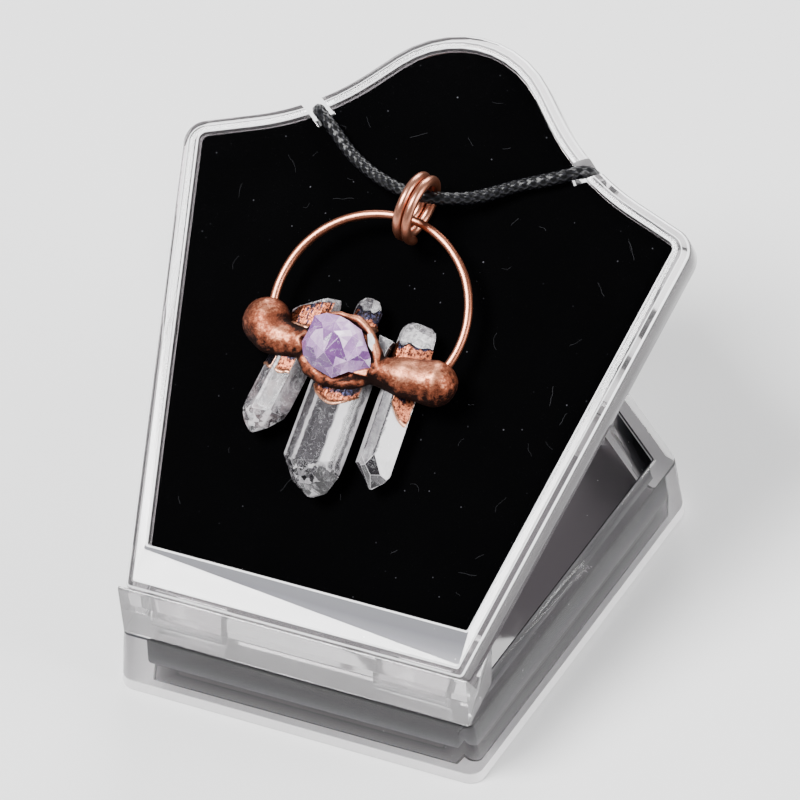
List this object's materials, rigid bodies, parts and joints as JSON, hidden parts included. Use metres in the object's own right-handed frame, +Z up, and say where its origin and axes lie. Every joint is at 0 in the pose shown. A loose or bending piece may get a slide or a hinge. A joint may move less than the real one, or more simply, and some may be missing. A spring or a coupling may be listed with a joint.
{
  "type": "crystal pendant necklace on a display stand",
  "caption": "Rough quartz points and amethyst set in a copper band under a wire hoop, hung by a coiled bail on a black waxed cord over a clear display stand with a velvet face.",
  "frame": {"origin": "middle of the underside of the stand's base", "axes": "+X to the right as the front is seen, +Y to the back, +Z up"},
  "size_m": [0.1067, 0.1476, 0.071],
  "materials": {
    "clear_acrylic": "clear and polished",
    "black_velvet": "short pile",
    "waxed_cord": "waxed braid",
    "aged_copper": "antiqued copper, softly polished",
    "amethyst": "rough broken stone",
    "clear_quartz": "natural crystal faces with inclusions"
  },
  "bodies": {
    "stand": {"base_tray": "clear_acrylic", "hinge_bar": "clear_acrylic", "hinge_pin_left": "clear_acrylic", "hinge_pin_right": "clear_acrylic", "panel": "clear_acrylic", "velvet_pad": "black_velvet", "cord": "waxed_cord", "clasp": "aged_copper"},
    "bail": {"bail": "aged_copper"},
    "pendant": {"copper_frame": "aged_copper", "amethyst": "amethyst", "quartz_left": "clear_quartz", "quartz_centre": "clear_quartz", "quartz_right": "clear_quartz"}
  },
  "joints": [
    {"name": "bail_on_cord", "type": "hinge", "parent": "stand", "child": "bail", "pos_m": [0, 0.01888, 0.06038], "axis": [-1, 0, 0], "range_deg": [0, 60]},
    {"name": "hoop_in_bail", "type": "hinge", "parent": "bail", "child": "pendant", "pos_m": [0, 0.01587, 0.05787], "axis": [-1, 0, 0], "range_deg": [0, 60]}
  ]
}
